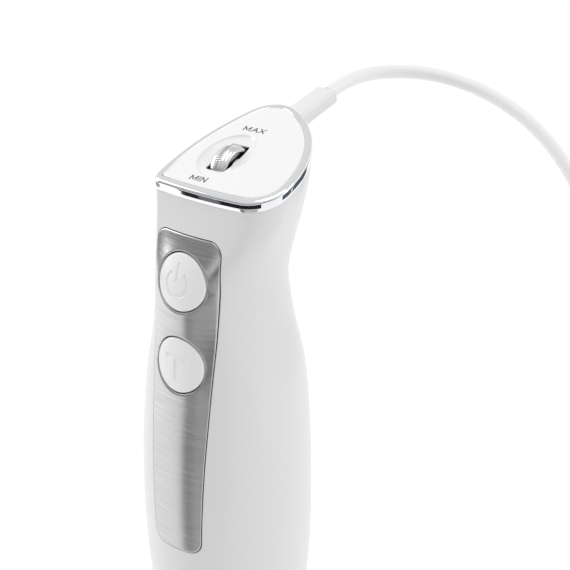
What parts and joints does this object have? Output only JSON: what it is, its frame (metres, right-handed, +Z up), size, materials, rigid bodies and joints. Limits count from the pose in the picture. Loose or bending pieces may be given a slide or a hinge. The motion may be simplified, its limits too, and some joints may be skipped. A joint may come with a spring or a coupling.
{
  "type": "immersion blender",
  "caption": "Upright hand blender with a waisted handle, sloping head with speed wheel, two front buttons, detachable shaft, bell guard, blade and mains cord.",
  "frame": {"origin": "middle of the bell guard's foot, on the axis of the motor and the blade shaft", "axes": "+Z up along the shaft to the handle, -Y the front with the buttons, +X to the right seen from the front"},
  "size_m": [0.1685, 0.1574, 0.4003],
  "materials": {
    "shell_white": "smooth satin-gloss white moulding",
    "plate_white": "glossy white",
    "button_white": "satin white",
    "chrome_trim": "mirror chrome plating",
    "panel_steel": "fine brushing across the panel",
    "wheel_chrome": "satin chrome plating",
    "shaft_steel": "polished, fine turned lines",
    "blade_steel": "ground",
    "inner_plastic": "moulded, unpainted",
    "dark_plastic": "moulded",
    "drive_plastic": "glass-filled nylon",
    "steel": "ground",
    "spring_steel": "drawn wire",
    "laminated_iron": "stacked sheets",
    "copper_wire": "varnished winding",
    "commutator_copper": "turned",
    "carbon": "pressed carbon",
    "bronze": "sintered",
    "rubber_black": "moulded",
    "board_green": "coated",
    "capacitor_blue": "sleeved",
    "heatsink_aluminium": "extruded",
    "cord_white": "soft plastic sheath",
    "plug_white": "moulded",
    "pin_nickel": "nickel plated"
  },
  "bodies": {
    "handle": {"handle_shell": "shell_white", "front_panel": "panel_steel", "button_frame": "inner_plastic", "chrome_band": "chrome_trim", "top_plate": "plate_white", "wheel_carrier": "inner_plastic", "potentiometer": "dark_plastic", "circuit_board": "board_green", "tact_switches": "dark_plastic", "film_capacitor": "capacitor_blue", "smoothing_capacitor": "dark_plastic", "triac_heatsink": "heatsink_aluminium", "board_chassis": "inner_plastic", "power_spring": "spring_steel", "turbo_spring": "spring_steel", "stator_core": "laminated_iron", "stator_coils": "copper_wire", "carbon_brushes": "carbon", "brush_holders": "commutator_copper", "upper_bearing": "bronze", "lower_bearing": "bronze", "upper_motor_bracket": "dark_plastic", "lower_motor_bracket": "dark_plastic", "motor_screws": "steel", "motor_damper": "rubber_black", "strain_relief": "cord_white", "cord_clamp": "inner_plastic", "mains_cord": "cord_white", "cord_coil": "cord_white", "cord_tail": "cord_white", "plug_body": "plug_white", "plug_pins": "pin_nickel"},
    "wheel": {"speed_wheel": "wheel_chrome", "wheel_axle": "steel"},
    "power_key": {"power_button": "button_white"},
    "turbo_key": {"turbo_button": "button_white"},
    "left_latch": {"left_release_button": "button_white"},
    "right_latch": {"right_release_button": "button_white"},
    "rotor": {"rotor_core": "laminated_iron", "armature_windings": "copper_wire", "commutator": "commutator_copper", "motor_shaft": "steel", "cooling_fan": "dark_plastic", "drive_coupling": "drive_plastic"},
    "shaft": {"shaft_hub": "shell_white", "shaft_tube": "shaft_steel", "bell_guard": "shaft_steel", "bell_boss": "dark_plastic", "lower_bushing": "bronze", "upper_bushing": "bronze", "bushing_holder": "dark_plastic", "shaft_seal": "rubber_black"},
    "cutter": {"blade": "blade_steel", "blade_shaft": "steel", "coupling_socket": "drive_plastic", "blade_nut": "blade_steel", "blade_spacer": "drive_plastic"}
  },
  "joints": [
    {"name": "speed_wheel_turn", "type": "hinge", "parent": "handle", "child": "wheel", "pos_m": [0, 0.00619, 0.37834], "axis": [1, 0, 0], "range_deg": [-135, 135]},
    {"name": "power_press", "type": "slide", "parent": "handle", "child": "power_key", "axis": [0, 0.974, -0.2265], "range_m": [0, 0.0015], "stiffness_N_per_m": 900, "springref_m": -0.0008, "deforming": ["power_spring"]},
    {"name": "turbo_press", "type": "slide", "parent": "handle", "child": "turbo_key", "axis": [0, 0.9961, -0.0882], "range_m": [0, 0.0015], "stiffness_N_per_m": 900, "springref_m": -0.0008, "deforming": ["turbo_spring"]},
    {"name": "rotor_spin", "type": "hinge", "parent": "handle", "child": "rotor", "pos_m": [0, 0, 0.199], "axis": [0, 0, 1], "continuous": true},
    {"name": "shaft_release", "type": "slide", "parent": "handle", "child": "shaft", "axis": [0, 0, -1], "range_m": [0, 0.04]},
    {"name": "blade_spin", "type": "hinge", "parent": "shaft", "child": "cutter", "pos_m": [0, 0, 0.014], "axis": [0, 0, 1], "continuous": true},
    {"name": "left_release_press", "type": "slide", "parent": "handle", "child": "left_latch", "axis": [1, 0, 0], "range_m": [0, 0.0012], "stiffness_N_per_m": 1200, "springref_m": -0.0008},
    {"name": "right_release_press", "type": "slide", "parent": "handle", "child": "right_latch", "axis": [-1, 0, 0], "range_m": [0, 0.0012], "stiffness_N_per_m": 1200, "springref_m": -0.0008}
  ],
  "couplings": [
    {"joint": "blade_spin", "follows": "rotor_spin", "ratio": 1}
  ]
}
